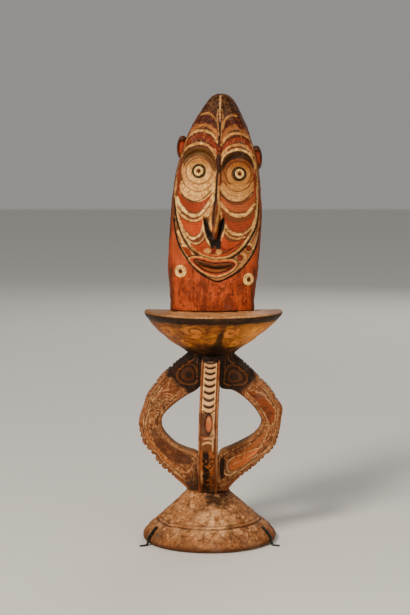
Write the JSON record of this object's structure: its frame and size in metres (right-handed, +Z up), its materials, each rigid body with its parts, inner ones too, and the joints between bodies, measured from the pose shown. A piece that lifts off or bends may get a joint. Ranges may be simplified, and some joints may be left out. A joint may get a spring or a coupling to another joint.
{
  "type": "ancestor figure",
  "caption": "Tall carved and painted head with ring eyes and shell inlays, standing in a round dish on curved openwork arms and a conical foot",
  "frame": {"origin": "centre of the foot's resting face, on the surface that it stands on", "axes": "+Z up, the face looks along -Y, +X to a viewer's right"},
  "size_m": [0.2567, 0.2488, 0.8014],
  "materials": {
    "painted_wood": "red ochre, cream and black earth paint, matt and worn",
    "carved_wood": "weathered brown with rubbed pigment",
    "dish_wood": "waxy golden brown with dark incised bands",
    "foot_wood": "dusty grey brown with incised bands",
    "dark_wood": "dark stained",
    "cone_shell": "ground shell, yellowed, half gloss",
    "black_resin": "black plant resin",
    "black_steel": "black, satin"
  },
  "bodies": {
    "root": {"foot": "foot_wood", "arm_front": "carved_wood", "arm_right": "carved_wood", "arm_back": "carved_wood", "arm_left": "carved_wood", "dish": "dish_wood", "head": "painted_wood", "ear_left": "dark_wood", "ear_right": "dark_wood", "forehead_boss": "dark_wood", "eye_bed_left": "black_resin", "eye_bed_right": "black_resin", "eye_shell_left": "cone_shell", "eye_shell_right": "cone_shell", "pupil_left": "dark_wood", "pupil_right": "dark_wood", "cheek_shell_left": "cone_shell", "cheek_shell_right": "cone_shell", "cheek_peg_left": "dark_wood", "cheek_peg_right": "dark_wood", "clip_left": "black_steel", "clip_right": "black_steel"}
  },
  "joints": []
}
